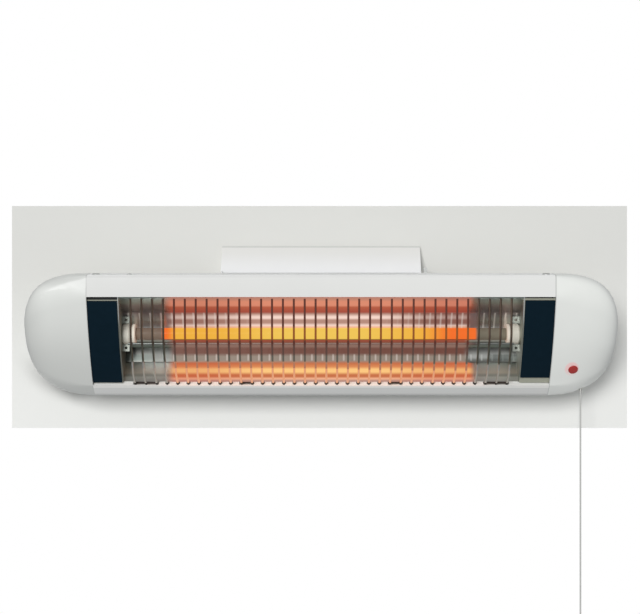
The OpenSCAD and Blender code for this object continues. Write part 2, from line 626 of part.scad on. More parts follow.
module cheek_shape() union() {
    polygon([[0, hood_top], [-bracket_t, hood_top], hood_edge, [hood_edge.x, pivot_up], [pivot_at.x, pivot_up - boss_r],
             [-bracket_t, cheek_low], [0, cheek_low]]);
    translate(pivot_at) circle(r = boss_r, $fn = 64);
}
module wall_bracket() color(white) difference() {
    union() {
        translate([-half_w, -bracket_t, -hood_top]) cube([bracket_w, bracket_t, bracket_h]);
        run_x(-half_w, half_w) polygon(sheet([hood_edge, [-bracket_t, hood_top], [0, hood_top]], -bracket_t));
        both() run_x(cheek_in, half_w) cheek_shape();
    }
    rod_x(-half_w - 1, half_w + 1, pivot_at, pivot_d + 2 * run_gap);
    for (x = [-screw_spacing / 2, screw_spacing / 2]) rod_y(-5, 5, x, wall_screw_z, screw_hole_d);
}
module tilt_washers() color([0.85, 0.83, 0.75]) both() difference() {
    rod_x(washer_x, washer_x + washer_t, pivot_at, 2 * boss_r - 2);
    rod_x(washer_x - 1, washer_x + washer_t + 1, pivot_at, pivot_d + 2 * run_gap);
}
nut_t = 3.6;
nut_d = 9.2;
module lock_nut() color(steel) difference() {
    translate([cheek_in - nut_t, pivot_at.x, pivot_at.y]) rotate([0, 90, 0]) rotate([0, 0, 30])
        cylinder(h = nut_t, d = nut_d, $fn = 6);
    rod_x(cheek_in - nut_t - 1, cheek_in + 1, pivot_at, pivot_d + 2 * run_gap);
}

module ear_shape() difference() {
    union() {
        polygon([[rear_y, ear_plate_low], [rear_y, ear_plate_top], [pivot_at.x - 4, pivot_up + 2.6],
                 [pivot_at.x + 4.6, pivot_up - 2], [rear_y + 6, ear_plate_low]]);
        translate(pivot_at) circle(r = 5, $fn = 48);
    }
    translate(pivot_at) circle(d = pivot_d + 2 * run_gap, $fn = 48);
}
module tilt_ears() color(white) difference() {
    union() {
        translate([-ear_out, rear_y, ear_plate_low]) cube([2 * ear_out, bracket_t, ear_plate_top - ear_plate_low]);
        both() run_x(ear_x, ear_out) ear_shape();
    }
    for (x = [-ear_screw_x, 0, ear_screw_x]) rod_y(rear_y - 1, rear_y + 5, x, ear_screw_z, shank_d + 2 * shank_gap);
}
pin_head_t = 1.4;
module pivot_pin() color(steel) on_left() {
    rod_x(cheek_in - side_gap - pin_head_t, ear_out, pivot_at, pivot_d);
    rod_x(ear_out, ear_out + pin_head_t, pivot_at, pivot_d + 3);
    rod_x(cheek_in - side_gap - pin_head_t, cheek_in - side_gap, pivot_at, pivot_d + 1.4);
}
module lock_knob() color(white) {
    rod_x(cheek_in - nut_t - 2, ear_out + run_gap, pivot_at, pivot_d);
    translate([ear_out + run_gap, pivot_at.x, pivot_at.y]) rotate([0, 90, 0]) difference() {
        cylinder(h = knob_t, d = knob_d, $fn = 96);
        for (a = [0:30:330]) rotate([0, 0, a]) translate([knob_d / 2 + 0.6, 0, -1]) cylinder(h = knob_t + 2, d = 3, $fn = 24);
    }
}

// ---- Cable entry ----
module cable_grommet() color([0.12, 0.12, 0.12]) difference() {
    union() {
        rod_y(rear_y - sheet_t - 1.6, rear_y + 1.6, grommet_x, grommet_z, grommet_hole_d - 0.1);
        rod_y(rear_y, rear_y + 1.6, grommet_x, grommet_z, grommet_hole_d + 3);
        rod_y(rear_y - sheet_t - 1.6, rear_y - sheet_t, grommet_x, grommet_z, grommet_hole_d + 3);
    }
    rod_y(rear_y - 10, rear_y + 10, grommet_x, grommet_z, cable_d);
}

// ---- Inside the right end cap ----
block_fore = 30;
block_drop = 4;
block_at = [seam_x, back_y - block_fore, mid_z - block_drop];
block_size = [24, 14, 18];
block_in = 4;                               // the first of its three holes
block_pitch = 8;
module terminal_block() color(cream) difference() {
    translate(block_at) cube(block_size);
    for (i = [0:2]) translate(block_at + [block_in + i * block_pitch, block_size.y / 2, block_size.z / 2]) {
        rotate([90, 0, 0]) cylinder(h = 20, d = 4.2, $fn = 32);
        cylinder(h = 20, d = wire_core + 2 * run_gap, center = true, $fn = 32);
    }
}
cutout_set = 24;
cutout_up = 6;
cutout_at = [front_y + cutout_set, mid_z + cutout_up];
cutout_tab_x = frame_x - 12;
cutout_tab_rise = 3;
module thermal_cutout() color([0.25, 0.22, 0.2]) {
    rod_x(frame_x - 5, frame_x, cutout_at, 15);
    rod_x(frame_x - 7, frame_x - 5, cutout_at, 11);
    for (z = [-cutout_tab_rise, cutout_tab_rise])
        translate([cutout_tab_x, cutout_at.x - 3, cutout_at.y + z - 0.4]) cube([5.1, 6, 0.8]);
}

// ---- Pull switch ----
cord_x = seam_x + cord_past;
cord_y = back_y - cord_fore;
bush_d = 5.6;
bush_low = bottom_z + 7;
bush_top = bush_low + 13;
bush_flange_t = 1.5;
switch_low = bush_top;
switch_h = 28;
switch_w = 20;
switch_depth = 15;
spring_chamber_d = 9.6;
plunger_low = bush_low + 0.5;
spring_closed = 8;                          // length of the pressed spring
collar_z = switch_low + spring_closed + pull_travel;
plunger_collar_d = 8.8;
plunger_top = collar_z + 6;
module pull_switch() color([0.88, 0.86, 0.8]) difference() {
    translate([cord_x - switch_w / 2, cord_y - switch_depth / 2, switch_low]) cube([switch_w, switch_depth, switch_h]);
    translate([cord_x, cord_y, switch_low - 1]) cylinder(h = switch_h - 3, d = spring_chamber_d, $fn = 48);
}
switch_top = switch_low + switch_h;
carrier_t = 1.2;
module switch_bracket() color(steel) translate([seam_x, cord_y - 6, switch_top]) {
    cube([cord_x + switch_w / 2 - seam_x, 12, carrier_t]);
    translate([0, 0, -16]) cube([carrier_t, 12, 16.1]);
}
module cord_bush() color(white) translate([cord_x, cord_y, 0]) difference() {
    union() {
        translate([0, 0, bush_low]) cylinder(h = bush_top - bush_low, d = bush_d, $fn = 48);
        translate([0, 0, bush_top - bush_flange_t]) cylinder(h = bush_flange_t, d = 12, $fn = 48);
    }
    translate([0, 0, bush_low - 1]) cylinder(h = bush_top - bush_low + 2, d = plunger_d + 2 * run_gap, $fn = 48);
}
ball_d = 3;
module switch_plunger() color(cream) translate([cord_x, cord_y, 0]) difference() {
    union() {
        translate([0, 0, plunger_low]) cylinder(h = plunger_top - plunger_low, d = plunger_d, $fn = 48);
        translate([0, 0, collar_z]) cylinder(h = 2.5, d = plunger_collar_d, $fn = 48);
    }
    translate([0, 0, plunger_low]) sphere(d = ball_d + 0.4, $fn = 48);
}
spring_d = 7.6;
spring_wire = 0.8;
spring_turns = 7;
spring_steps = 8;
spring_h = collar_z - switch_low;
function spring_point(k) = let (a = 360 * k / spring_steps)
    [spring_d / 2 * cos(a), spring_d / 2 * sin(a),
     spring_wire / 2 + (spring_h - spring_wire) * k / (spring_turns * spring_steps)];
spring_path = [for (k = [0:spring_turns * spring_steps]) spring_point(k)];
module return_spring() color(steel) translate([cord_x, cord_y, switch_low]) {
    echo(least_gap_of_the_return_spring = least_gap(spring_path, spring_wire, spring_steps));
    tube_along(spring_path, spring_wire, 6, [0, 0, 1]);
}

// ---- Pull cord ----
neck_len = 1.9;
module cord_ball() color(brass) translate([cord_x, cord_y, plunger_low]) {
    sphere(d = ball_d, $fn = 48);
    translate([0, 0, -ball_d / 2 - neck_len]) cylinder(h = neck_len + 0.4, d = cord_d + 0.5, $fn = 24);
}
// The cord's route, from the ball's neck straight down
cord_top = plunger_low - ball_d / 2 - neck_len;
cord_steps = 14;
cord_route = [for (k = [0:cord_steps]) [cord_x, cord_y, cord_top - cord_len * k / cord_steps]];
module pull_cord() color(white) tube_along(cord_route, cord_d, 8, [0, 1, 0]);
module cord_knob() color(white) translate(cord_route[len(cord_route) - 1]) rotate_extrude($fn = 48)
    polygon(concat([[0, 0], [cord_knob_d * 0.22, 0]],
                   [for (a = [0:15:90]) [cord_knob_d * (0.22 + 0.28 * sin(a)), -cord_knob_len * 0.72 * (1 - cos(a)) - 1]],
                   [for (a = [0:15:90]) [cord_knob_d / 2 * cos(a), -cord_knob_len * 0.8 - cord_knob_len * 0.2 * sin(a)]]));

// ---- Wiring ----
wire_core = 2.4;
block_hole = [block_at.x + block_in, block_at.y + block_size.y / 2, block_at.z + block_size.z - 3];
left_turn = 5;                              // past the left lead's end to where the wiring rises
right_turn = 4;                             // and past the right one's
run_beside = 2.5;                           // between the two runs through the bulkhead
run_above = 9;                              // over the terminal block
run_r = 2;                                  // radius of the wiring's turns
internal_runs = [
    // From the coil's left lead, above the reflector, to the terminal block
    [[-lead_out, tube_at.x, tube_at.y], [-lead_out - left_turn, tube_at.x, tube_at.y],
     [-lead_out - left_turn, block_hole.y, wire_pass_at.y], [block_hole.x, block_hole.y, wire_pass_at.y], block_hole],
    // From the coil's right lead to the thermal cut-out
    [[lead_out, tube_at.x, tube_at.y], [lead_out + right_turn, tube_at.x, tube_at.y],
     [lead_out + right_turn, cutout_at.x, cutout_at.y - cutout_tab_rise],
     [cutout_tab_x, cutout_at.x, cutout_at.y - cutout_tab_rise]],
    // From the thermal cut-out to the terminal block
    [[cutout_tab_x, cutout_at.x, cutout_at.y + cutout_tab_rise],
     [lead_out + right_turn, cutout_at.x, cutout_at.y + cutout_tab_rise],
     [lead_out + right_turn, wire_pass_at.x - run_beside, wire_pass_at.y], [block_hole.x + block_pitch, wire_pass_at.x - run_beside, wire_pass_at.y],
     block_hole + [block_pitch, 0, run_above], block_hole + [block_pitch, 0, 0]],
];
module internal_wiring() color([0.7, 0.7, 0.72])
    for (p = internal_runs) tube_along(eased_run(p, run_r, 2), wire_core, 6, [0.2, 0.5, 1]);

wall_bracket();
tilt_washers();
lock_nut();
top_casing();
rear_panel();
bottom_rail();
left_end_frame();
right_end_frame();
left_end_cap();
right_end_cap();
tilt_ears();
pivot_pin();
lock_knob();
reflector();
left_reflector_end();
right_reflector_end();
left_dark_panel();
right_dark_panel();
wire_guard();
cross_rod();
quartz_tube();
heating_coil();
left_tube_holder();
right_tube_holder();
holder_clips();
casing_screws();
rear_screws();
cap_screws();
cable_grommet();
indicator_lens();
indicator_lamp();
terminal_block();
thermal_cutout();
internal_wiring();
pull_switch();
switch_bracket();
return_spring();
cord_bush();
switch_plunger();
cord_ball();
pull_cord();
cord_knob();
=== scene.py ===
# %% [markdown]
# # A wall heater with one glowing bar
#
# The real object is a bathroom heater: a quartz tube lies in a folded aluminium reflector, behind a guard
# of bent wires, in a painted steel casing with two moulded end caps. The rigid parts come in finished, as
# closed solids at their real size. This file gives them their finishes, smooths the ones whose curves show,
# makes the pull cord, and sets up the wall, the light and the camera.

# %% Load the solids
import json
from math import pi, radians

import bmesh
import bpy
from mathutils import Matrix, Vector


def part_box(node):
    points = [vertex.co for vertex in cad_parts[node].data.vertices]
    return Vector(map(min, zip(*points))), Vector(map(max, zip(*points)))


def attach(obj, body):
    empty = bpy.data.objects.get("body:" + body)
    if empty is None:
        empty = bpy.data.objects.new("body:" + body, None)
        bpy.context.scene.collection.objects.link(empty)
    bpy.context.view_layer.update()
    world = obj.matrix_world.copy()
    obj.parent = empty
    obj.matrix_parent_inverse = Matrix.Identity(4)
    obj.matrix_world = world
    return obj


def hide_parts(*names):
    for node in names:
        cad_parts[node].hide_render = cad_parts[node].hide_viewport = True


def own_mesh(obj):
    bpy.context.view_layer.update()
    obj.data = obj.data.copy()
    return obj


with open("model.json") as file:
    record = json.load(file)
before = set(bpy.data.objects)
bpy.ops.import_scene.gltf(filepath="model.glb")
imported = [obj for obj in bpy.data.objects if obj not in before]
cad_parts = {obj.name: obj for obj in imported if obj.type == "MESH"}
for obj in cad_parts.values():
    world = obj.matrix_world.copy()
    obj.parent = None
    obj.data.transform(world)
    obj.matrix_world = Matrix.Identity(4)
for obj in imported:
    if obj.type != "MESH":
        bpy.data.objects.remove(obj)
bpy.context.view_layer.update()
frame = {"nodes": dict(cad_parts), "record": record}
solids = frame["nodes"]

# %% [markdown]
# ## Camera
#
# The photograph looks straight at the heater, a little below the middle of its bracket. The tube's ends and
# the bracket shrink with distance, and how much they do gives the distance: about 1.4 m to the front panel.
# A long lens at that distance keeps the verticals parallel.

# %% Camera
FRAME_WIDE, FRAME_HIGH = 640, 614            # the photograph, in pixels
FOCAL_PIXELS = 1489                          # focal length, in the photograph's pixels
SENSOR_WIDE = 36                             # in millimetres
CAMERA_AT = Vector((-0.001, -1.5, -0.026))

camera = bpy.data.objects.new("camera", bpy.data.cameras.new("camera"))
bpy.context.scene.collection.objects.link(camera)
camera.data.sensor_width = SENSOR_WIDE
camera.data.lens = SENSOR_WIDE * FOCAL_PIXELS / FRAME_WIDE
camera.location = CAMERA_AT
camera.rotation_euler = (radians(90), 0, 0)
bpy.context.scene.camera = camera


def point_seen_at(pixel_x, pixel_y, depth_y):
    """The point in the upright plane at depth_y that the camera sees at a pixel."""
    away = (depth_y - CAMERA_AT.y) / FOCAL_PIXELS
    return Vector((CAMERA_AT.x + (pixel_x - FRAME_WIDE / 2) * away, depth_y,
                   CAMERA_AT.z + (FRAME_HIGH / 2 - pixel_y) * away))


print("lens:", round(camera.data.lens, 2), "mm")

# %% [markdown]
# ## Pull cord
#
# The cord hangs from a small brass ball in the switch's plunger. It is a thin braid, so it is a curve with a
# round section: one spline through the points of its route, which is quicker to read than a swept mesh and
# stays exactly as long as the real cord. Its thickness is kept in the points' radius, at a bevel of 1,
# because Blender adds that radius to a curve's box.

# %% Pull cord
CORD_X, CORD_Y, CORD_TOP = 0.254, -0.042, -0.1084
CORD_LENGTH, CORD_ACROSS, CORD_STEPS = 0.280, 0.0016, 14
cord_route = [Vector((CORD_X, CORD_Y, CORD_TOP - CORD_LENGTH * step / CORD_STEPS))
              for step in range(CORD_STEPS + 1)]

curve = bpy.data.curves.new("cord_braid", "CURVE")
curve.dimensions = "3D"
curve.bevel_depth = 1
curve.bevel_resolution = 3
curve.use_fill_caps = True
spline = curve.splines.new("POLY")
spline.points.add(len(cord_route) - 1)
for spot, place in zip(spline.points, cord_route):
    spot.co, spot.radius = (*place, 1), CORD_ACROSS / 2
cord_braid = bpy.data.objects.new("cord_braid", curve)
bpy.context.scene.collection.objects.link(cord_braid)
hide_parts("pull_cord")
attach(cord_braid, "pull_cord")
print("cord:", CORD_LENGTH, "m")

# %% [markdown]
# ## Smooth skins
#
# A solid arrives as loose triangles, so each facet of a curved face would show. A merged copy of the mesh,
# shaded smooth except across its sharp edges, looks round without any change of size. The copy then stands
# in for the solid.

# %% Smooth skins
MERGE_WITHIN = 2e-6                          # points closer than this become one
SHARP_EDGE = radians(35)
BODY_OF = {node: body for body, members in frame["record"]["behaviour"]["bodies"].items()
           for node in members}
SLOT_OF = {entry["node"]: entry["material_slot"] for entry in frame["record"]["subparts"]}


def skin(node):
    """A merged, smooth-shaded copy of a solid, which stands in for it."""
    mesh = solids[node].data.copy()
    mesh.name = node + "_skin"
    form = bmesh.new()
    form.from_mesh(mesh)
    bmesh.ops.remove_doubles(form, verts=form.verts, dist=MERGE_WITHIN)
    for edge in form.edges:
        edge.smooth = edge.is_manifold and edge.calc_face_angle() < SHARP_EDGE
    for face in form.faces:
        face.smooth = True
    form.to_mesh(mesh)
    form.free()
    piece = bpy.data.objects.new(node + "_skin", mesh)
    bpy.context.scene.collection.objects.link(piece)
    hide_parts(node)
    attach(piece, BODY_OF[node])
    return piece


SMOOTHED = ["left_end_cap", "right_end_cap", "wire_guard", "cross_rod", "quartz_tube", "left_tube_holder",
            "right_tube_holder", "lock_knob", "pivot_pin", "top_casing", "bottom_rail", "casing_screws",
            "rear_screws", "indicator_lens", "cord_bush", "switch_plunger", "cord_ball", "cord_knob",
            "heating_coil", "left_dark_panel", "right_dark_panel", "return_spring", "internal_wiring",
            "cable_grommet", "cap_screws", "indicator_lamp", "tilt_washers", "lock_nut"]
shown = dict(solids)
for node in SMOOTHED:
    shown[node] = skin(node)
shown["pull_cord"] = cord_braid
print("smoothed:", len(SMOOTHED))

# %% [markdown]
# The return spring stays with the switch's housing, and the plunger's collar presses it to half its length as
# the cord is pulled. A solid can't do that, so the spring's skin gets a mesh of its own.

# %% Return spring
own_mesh(shown["return_spring"])

# %% [markdown]
# ## Shader arithmetic
#
# Finishes are written as sums. A small class wraps the output of a node, and each operator on it adds a Math
# node, so that a formula in Python becomes a chain of nodes with the same meaning.

# %% Shader arithmetic
BLACK = (0, 0, 0)


class Signal:
    """One node output. Arithmetic on it adds Math nodes."""

    def __init__(self, finish, socket):
        self.finish, self.socket = finish, socket

    def _math(self, operation, *values):
        return self.finish.add("ShaderNodeMath", {"operation": operation}, dict(enumerate(values)))

    def __add__(self, other):
        return self._math("ADD", self, other)

    def __sub__(self, other):
        return self._math("SUBTRACT", self, other)

    def __rsub__(self, other):
        return self._math("SUBTRACT", other, self)

    def __mul__(self, other):
        return self._math("MULTIPLY", self, other)

    def __truediv__(self, other):
        return self._math("DIVIDE", self, other)

    def __abs__(self):
        return self._math("ABSOLUTE", self)

    __radd__, __rmul__ = __add__, __mul__

    def root(self):
        return self._math("SQRT", self)

    def sine(self):
        return self._math("SINE", self)

    def angle_over(self, other):
        """The angle of a direction that goes self up and other across."""
        return self._math("ARCTAN2", self, other)

    def from_middle(self):
        """How far it is from the point halfway between two whole numbers."""
        return abs(self._math("FRACT", self) - 0.5)

    def step(self, low, high):
        """0 below low, 1 above high and a smooth rise between them."""
        return self.finish.add("ShaderNodeMapRange", {"interpolation_type": "SMOOTHSTEP"},
                               {"Value": self, "From Min": low, "From Max": high})

    def fall(self, low, high):
        """1 below low, 0 above high and a smooth fall between them."""
        return 1 - self.step(low, high)

    def band(self, low, full, fading, high):
        """0 up to low, 1 from full to fading and 0 again from high on."""
        return self.step(low, full) - self.step(fading, high)


class Finish:
    """A material with one Principled shader, built from a name, constant settings and varying signals."""

    def __init__(self, name, **constants):
        self.material = bpy.data.materials.new(name)
        self.material.use_nodes = True
        self.tree = self.material.node_tree
        self.shader = self.tree.nodes["Principled BSDF"]
        for socket, value in constants.items():
            self.set(socket.replace("_", " "), value)

    def feed(self, socket, value):
        if isinstance(value, Signal):
            self.tree.links.new(value.socket, socket)
        elif socket.type == "RGBA" and len(value) == 3:
            socket.default_value = (*value, 1)
        else:
            socket.default_value = value

    def set(self, name, value):
        self.feed(self.shader.inputs[name], value)

    def shine(self, colour, strength=1.0):
        """Light that the surface gives off."""
        self.set("Emission Color", colour)
        self.set("Emission Strength", strength)

    def add(self, kind, settings=None, inputs=None, output=0):
        """Adds a node: its settings first, then the values or links of its sockets."""
        node = self.tree.nodes.new(kind)
        for key, value in (settings or {}).items():
            if key == "stops":
                ramp = node.color_ramp.elements
                while len(ramp) < len(value):
                    ramp.new(1)
                for element, (place, colour) in zip(ramp, value):
                    element.position, element.color = place, (*colour, 1)
            else:
                setattr(node, key, value)
        for key, value in (inputs or {}).items():
            self.feed(node.inputs[key], value)
        return Signal(self, node.outputs[output])

    def place(self):
        """The object's own X, Y and Z, in metres."""
        coordinates = self.add("ShaderNodeTexCoord", output="Object")
        return [self.add("ShaderNodeSeparateXYZ", inputs={0: coordinates}, output=axis) for axis in (0, 1, 2)]

    def noise(self, size, detail=2.0, stretch=(1, 1, 1)):
        """Soft noise with features of about that size, in metres, drawn out along an axis by stretch."""
        coordinates = self.add("ShaderNodeTexCoord", output="Object")
        scale = [1 / (size * longer) for longer in stretch]
        scaled = self.add("ShaderNodeMapping", inputs={"Vector": coordinates, "Scale": scale})
        return self.add("ShaderNodeTexNoise", inputs={"Vector": scaled, "Scale": 1.0, "Detail": detail})

    def mix(self, factor, first, second):
        """A colour between two colours: the first at 0 and the second at 1."""
        return self.add("ShaderNodeMix", {"data_type": "RGBA"}, {0: factor, 6: first, 7: second}, output=2)

    def bump(self, height, depth):
        """A Normal from a height signal; depth is in metres."""
        inputs = {"Height": height, "Distance": depth, "Strength": 1.0}
        self.set("Normal", self.add("ShaderNodeBump", inputs=inputs))


def shade(colour, amount):
    """A colour scaled towards black, or beyond itself."""
    return tuple(channel * amount for channel in colour)


# %% [markdown]
# ## Finishes
#
# Each finish starts from what the real surface is. Powder coat has a faint orange peel, moulded plastic a
# very slight mottling, bare sheet its rolling lines, and ceramic a grain. The amounts are small, because at
# this distance only the way the highlights break up is seen.
#
# X runs along the heater, Y into the wall and Z up. A finish changes where the photograph does: near the hot
# tube, in a corner that gets no light, or along an edge. Those places are given in metres, as heights and as
# distances from the heater's middle.
#
# The glow that falls on the parts round the tube could come from a lamp in it. Such a small and strong lamp
# makes a noisy picture, so these parts give off a little light of their own instead, where the glow falls.

# %% Painted steel
PAINT = (0.80, 0.80, 0.775)
SEAM_X = 0.221                               # where the casing meets the end caps


def orange_peel(coat):
    """The faint ripple of powder coat."""
    coat.set("Roughness", 0.34 + 0.1 * coat.noise(0.02, 2))
    coat.bump(coat.noise(0.0011, 3), 0.00002)


paint = Finish("powder_coat", Specular_IOR_Level=0.3)
x, y, z = paint.place()
# Painted light: the casing's paint grows lighter towards the right end.
painted_light_to_right = x.step(-0.24, 0.24)
darker = paint.mix(painted_light_to_right, shade(PAINT, 0.88), shade(PAINT, 0.98))
lighter = paint.mix(painted_light_to_right, shade(PAINT, 0.92), shade(PAINT, 1.02))
plain = paint.mix(paint.noise(0.05, 2), darker, lighter)
# Painted light: the casing's top face is lighter.
painted_light_top = z.step(0.0022, 0.0042)
plain = paint.mix(painted_light_top, plain, (0.96, 0.96, 0.94))
# Painted shade: a thin dark line along the seam with each end cap.
seam_shadow = abs(x).step(SEAM_X - 0.0009, SEAM_X - 0.0003)
paint.set("Base Color", paint.mix(seam_shadow, plain, shade(PAINT, 0.74)))
hem_over_tube = z.fall(-0.0168, -0.0158) * abs(x).fall(0.13, 0.17) * y.fall(-0.0985, -0.0955)
paint.shine(paint.mix(hem_over_tube, BLACK, (0.16, 0.03, 0.01)))
orange_peel(paint)

# %% [markdown]
# The bracket's hood stands nearer to the wall's own bounce light, and its paint is painted a touch whiter
# towards its lower edge, with a painted shade line along its top. The rail's lip lies right under the tube
# and catches its glow, which it gives off as painted light. It is slotted, and each wire of the guard ends in
# a hole of its own in it, so painted shade makes the lip dark there. The rail's paint is painted lighter than
# the casing's, with painted shade on its underside and a painted highlight along the lip's fold.

# %% Painted bracket
hood_paint = Finish("bracket_coat", Coat_Weight=0.15, Coat_Roughness=0.2)
x, y, z = hood_paint.place()
hood_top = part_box("wall_bracket")[1][2]
# Painted light: the hood is lighter towards its lower edge.
plain = hood_paint.mix(z.step(0.006, 0.034), (0.90, 0.90, 0.90), (0.80, 0.79, 0.76))
# Painted shade: a dark line along the hood's top edge.
painted_top_shade = z.step(hood_top - 0.0016, hood_top - 0.0008)
hood_paint.set("Base Color", hood_paint.mix(painted_top_shade, plain, (0.62, 0.62, 0.59)))
orange_peel(hood_paint)

# %% Painted rail
WIRE_PITCH = 0.01029
LAST_HOLE = 0.181                            # distance of the last wire's hole from the middle
LIP_SLOTS = (0.0649, 0.0792), (0.1575, 0.1821)
SLOT_EDGE = 0.0002

rail_paint = Finish("rail_coat", Coat_Weight=0.15, Coat_Roughness=0.2)
x, y, z = rail_paint.place()
in_front = y.fall(-0.052, -0.050)
to_wire = (x / WIRE_PITCH).from_middle() * WIRE_PITCH
at_wire = to_wire.fall(0.0016, 0.0022) * abs(x).fall(LAST_HOLE, LAST_HOLE + 0.001)
at_slot = sum(abs(x).band(start - SLOT_EDGE, start, end, end + SLOT_EDGE) for start, end in LIP_SLOTS)
# Painted shade: dark in the lip's wire holes and slots.
painted_hole_shade = (at_wire + at_slot * (1 - at_wire)) * z.band(-0.1009, -0.1004, -0.0985, -0.0980)
# Painted light: the rail's paint is lighter than the casing's.
plain = rail_paint.mix(rail_paint.noise(0.05, 2), shade(PAINT, 1.03), shade(PAINT, 1.07))
# Painted shade on the rail's lowest, downward face.
plain = rail_paint.mix(z.step(-0.1112, -0.1100), shade(PAINT, 0.84), plain)
rail_paint.set("Base Color", rail_paint.mix(painted_hole_shade, plain, (0.05, 0.035, 0.03)))
# Painted glow of the tube on the lip below it.
under_tube = z.step(-0.1040, -0.1032) * abs(x).fall(0.13, 0.18) * in_front
# Painted highlight: a pale line of light along the lip's fold.
fold_highlight = z.band(-0.1045, -0.1039, -0.1034, -0.1028) * in_front
lift = rail_paint.mix(under_tube * (1 - painted_hole_shade), BLACK, (0.13, 0.085, 0.065))
rail_paint.shine(rail_paint.mix(fold_highlight, lift, (0.17, 0.155, 0.14)))
orange_peel(rail_paint)

# %% [markdown]
# Both end caps are one satin plastic, painted with light and shade. The left one is painted darker, most of
# all round its outer rim and low down, and its top edge is painted light again. The right one is painted
# lighter, most of all low on its outer side. It carries the lens, whose red light is painted as a pink ring
# on the moulding round it.

# %% Moulded plastic
PLASTIC = (0.79, 0.80, 0.765)
LENS_X, LENS_Z = 0.2413, -0.0858             # the middle of the lens's ring

moulding = Finish("satin_moulding", Specular_IOR_Level=0.4, Coat_Weight=0.08, Coat_Roughness=0.15)
x, y, z = moulding.place()
# Painted light and shade: the right cap lighter, the left cap darker.
right = moulding.mix(moulding.noise(0.03, 3), shade(PLASTIC, 1.06), shade(PLASTIC, 1.11))
painted_light_outer_foot = x.step(0.20, 0.25) * z.fall(-0.106, -0.093)
right = moulding.mix(painted_light_outer_foot, right, shade(PLASTIC, 1.2))
left = moulding.mix(x.step(-0.290, -0.255), shade(PLASTIC, 0.73), shade(PLASTIC, 0.99))
left = moulding.mix(z.step(-0.095, -0.025), shade(PLASTIC, 0.83), left)
left = moulding.mix(z.step(-0.012, -0.002), left, shade(PLASTIC, 0.85))
left = moulding.mix(z.step(-0.001, 0.006), left, shade(PLASTIC, 0.97))
plain = moulding.mix(x.step(-0.22, 0.22), left, right)
# Painted light: the lens's red light, as a pink ring round it.
off_x, off_z = x - LENS_X, z - LENS_Z
from_lens = (off_x * off_x + off_z * off_z).root()
lens_ring = from_lens.fall(0.0060, 0.0074) * y.fall(-0.07, -0.06)
plain = moulding.mix(lens_ring, plain, (0.98, 0.68, 0.66))
# Painted shade: a thin dark line along the seam with the casing.
seam_shadow = abs(x).fall(SEAM_X + 0.0003, SEAM_X + 0.0009)
moulding.set("Base Color", moulding.mix(seam_shadow, plain, shade(PLASTIC, 0.78)))
moulding.set("Roughness", 0.3 + 0.12 * moulding.noise(0.008, 3))
moulding.bump(moulding.noise(0.0006, 2), 0.000012)

# %% [markdown]
# The panels at the ends of the opening are painted nearly black, with a little blue. They stand in the
# casing's shade, so only a dull sheen tells them from a hole: a low specular level on a rough paint.

# %% Dark panel
dark = Finish("blue_black_paint", Specular_IOR_Level=0.08)
dark.set("Base Color", dark.mix(dark.noise(0.006, 4), (0.0016, 0.010, 0.017), (0.0030, 0.0135, 0.024)))
dark.set("Roughness", 0.42 + 0.15 * dark.noise(0.003, 3))
dark.bump(dark.noise(0.0006, 2), 0.00002)

# %% [markdown]
# Small parts of bare metal share one recipe and differ in tone: metallic, with a fine grain that breaks up
# what they mirror. The reflector's end sheets and the end frames have finishes of their own. The sheets'
# front edges carry a painted highlight where they catch the light, and the top of the left frame a painted
# shadow of the casing.

# %% Bare metals
FINE_GRAIN = 0.00001                         # depth of the grain in bare sheet and wire


def bare_metal(name, colour, roughness, size=0.002):
    """A bare metal with a fine grain."""
    metal = Finish(name, Metallic=1.0)
    grain = metal.noise(size, 4)
    metal.set("Base Color", metal.mix(grain, shade(colour, 0.9), shade(colour, 1.05)))
    metal.set("Roughness", roughness + 0.14 * grain)
    metal.bump(grain, FINE_GRAIN)
    return metal


sheet_steel = bare_metal("zinc_plated_sheet", (0.56, 0.57, 0.56), 0.33, 0.004)
screw_metal = bare_metal("zinc_plated_screw", (0.62, 0.62, 0.60), 0.30)
pin_metal = bare_metal("bright_pin", (0.60, 0.60, 0.59), 0.28)
spring_metal = bare_metal("spring_wire", (0.55, 0.55, 0.54), 0.3)
ball_brass = bare_metal("nickel_plated_brass", (0.58, 0.57, 0.53), 0.3)

end_sheet = Finish("dull_sheet", Metallic=1.0)
x, y, z = end_sheet.place()
grain = end_sheet.noise(0.002, 4)
tone = end_sheet.mix(grain, (0.30, 0.32, 0.28), (0.40, 0.42, 0.38))
# Painted highlight along the sheets' front edges.
front_edge_highlight = y.fall(-0.091, -0.086)
end_sheet.set("Base Color", end_sheet.mix(front_edge_highlight, tone, (0.80, 0.83, 0.80)))
end_sheet.set("Roughness", 0.38 + 0.14 * grain)
end_sheet.bump(grain, FINE_GRAIN)

frame_sheet = Finish("chromated_sheet", Roughness=0.45)
x, y, z = frame_sheet.place()
grain = frame_sheet.noise(0.003, 3)
tone = frame_sheet.mix(grain, (0.34, 0.345, 0.275), (0.42, 0.42, 0.34))
# Painted shadow of the casing on the top of the left frame.
in_shadow = z.step(-0.0194, -0.0190) * x.fall(-0.01, 0.01)
frame_sheet.set("Base Color", frame_sheet.mix(in_shadow, tone, (0.012, 0.014, 0.014)))
frame_sheet.bump(grain, FINE_GRAIN)

# %% [markdown]
# The guard's wires carry painted light and shade. They are painted dark where they stand in front of the
# glow, and give off a painted orange glow where they cross the tube. Below the tube they are painted grey,
# and from their bend down to the lip they give off a painted reflection of the lowest facet's light, with a
# painted glint where they bend. That change lies a little lower on the right. Beside the coil most of their
# colour is its painted light, and past its ends they are bare metal, painted darker on their upper run. Where
# they go into the lip, painted shade makes them dark.

# %% Guard wire and rod
COIL_END = 0.152                             # half the glowing length

